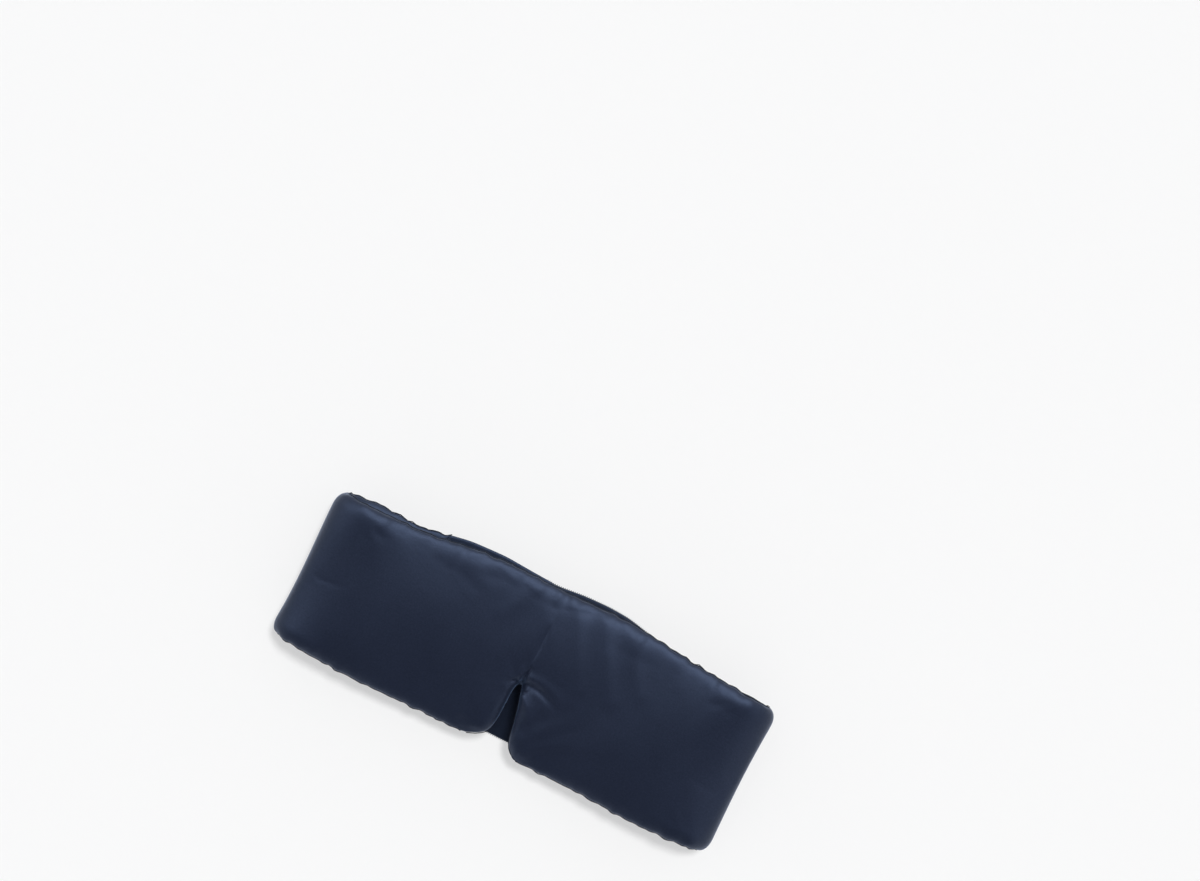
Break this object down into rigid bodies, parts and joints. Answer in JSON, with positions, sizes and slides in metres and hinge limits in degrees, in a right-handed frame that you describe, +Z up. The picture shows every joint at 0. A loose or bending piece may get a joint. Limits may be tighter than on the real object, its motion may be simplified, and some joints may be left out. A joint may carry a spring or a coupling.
{
  "type": "sleep eye mask",
  "caption": "Padded satin wrap-around sleep mask, closed at the back and folded flat, with a nose slit and a hook-and-loop closure tab.",
  "frame": {"origin": "bottom centre of the bounding box, on the surface that the folded mask lies on", "axes": "+X along the length towards the strap side's fold, +Y towards the brow edge, +Z up out of the outer face"},
  "size_m": [0.29, 0.104, 0.0343],
  "materials": {
    "satin_cover": "navy satin",
    "satin_lining": "navy satin, face side",
    "blackout_cloth": "dense matt cloth",
    "fibre_filling": "loose polyester wadding",
    "sewing_thread": "spun polyester thread",
    "hook_tape": "moulded hooks",
    "loop_tape": "brushed loops"
  },
  "bodies": {
    "front": {"front_cover": "satin_cover", "front_lining": "satin_lining", "blackout_interlining": "blackout_cloth", "left_eye_filling": "fibre_filling", "bridge_filling": "fibre_filling", "right_eye_filling": "fibre_filling", "brow_seam": "sewing_thread", "left_cheek_seam": "sewing_thread", "right_cheek_seam": "sewing_thread", "nose_slit_binding": "satin_cover", "nose_bar_tack": "sewing_thread"},
    "left_temple": {"left_temple_cover": "satin_cover", "left_temple_lining": "satin_lining", "left_temple_filling": "fibre_filling", "left_temple_brow_seam": "sewing_thread", "left_temple_cheek_seam": "sewing_thread"},
    "left_wing": {"left_wing_cover": "satin_cover", "left_wing_lining": "satin_lining", "left_wing_filling": "fibre_filling", "left_wing_brow_seam": "sewing_thread", "left_wing_cheek_seam": "sewing_thread", "loop_panel": "satin_cover", "loop_tape": "loop_tape", "loop_tape_stitching": "sewing_thread"},
    "right_temple": {"right_temple_cover": "satin_cover", "right_temple_lining": "satin_lining", "right_temple_filling": "fibre_filling", "right_temple_brow_seam": "sewing_thread", "right_temple_cheek_seam": "sewing_thread"},
    "right_wing": {"right_wing_cover": "satin_cover", "right_wing_lining": "satin_lining", "right_wing_filling": "fibre_filling", "right_wing_brow_seam": "sewing_thread", "right_wing_cheek_seam": "sewing_thread", "rear_strap": "satin_cover", "strap_brow_overlock": "sewing_thread", "strap_cheek_overlock": "sewing_thread"},
    "closure_tab": {"closure_tab": "satin_cover", "hook_tape": "hook_tape", "hook_tape_stitching": "sewing_thread"}
  },
  "joints": [
    {"name": "right_front_fold", "type": "hinge", "parent": "front", "child": "right_temple", "pos_m": [0.14, 0, 0.029], "axis": [0, -1, 0], "range_deg": [0, 90]},
    {"name": "right_rear_fold", "type": "hinge", "parent": "right_temple", "child": "right_wing", "pos_m": [0.14, 0, 0.005], "axis": [0, -1, 0], "range_deg": [0, 90]},
    {"name": "left_front_fold", "type": "hinge", "parent": "front", "child": "left_temple", "pos_m": [-0.14, 0, 0.029], "axis": [0, 1, 0], "range_deg": [0, 90]},
    {"name": "left_rear_fold", "type": "hinge", "parent": "left_temple", "child": "left_wing", "pos_m": [-0.14, 0, 0.005], "axis": [0, 1, 0], "range_deg": [0, 90]},
    {"name": "tab_peel", "type": "hinge", "parent": "right_wing", "child": "closure_tab", "pos_m": [-0.012, 0, -0.0001], "axis": [0, -1, 0], "range_deg": [0, 150]}
  ],
  "couplings": [
    {"joint": "right_rear_fold", "follows": "right_front_fold", "ratio": 1},
    {"joint": "left_front_fold", "follows": "right_front_fold", "ratio": 1},
    {"joint": "left_rear_fold", "follows": "right_front_fold", "ratio": 1}
  ]
}
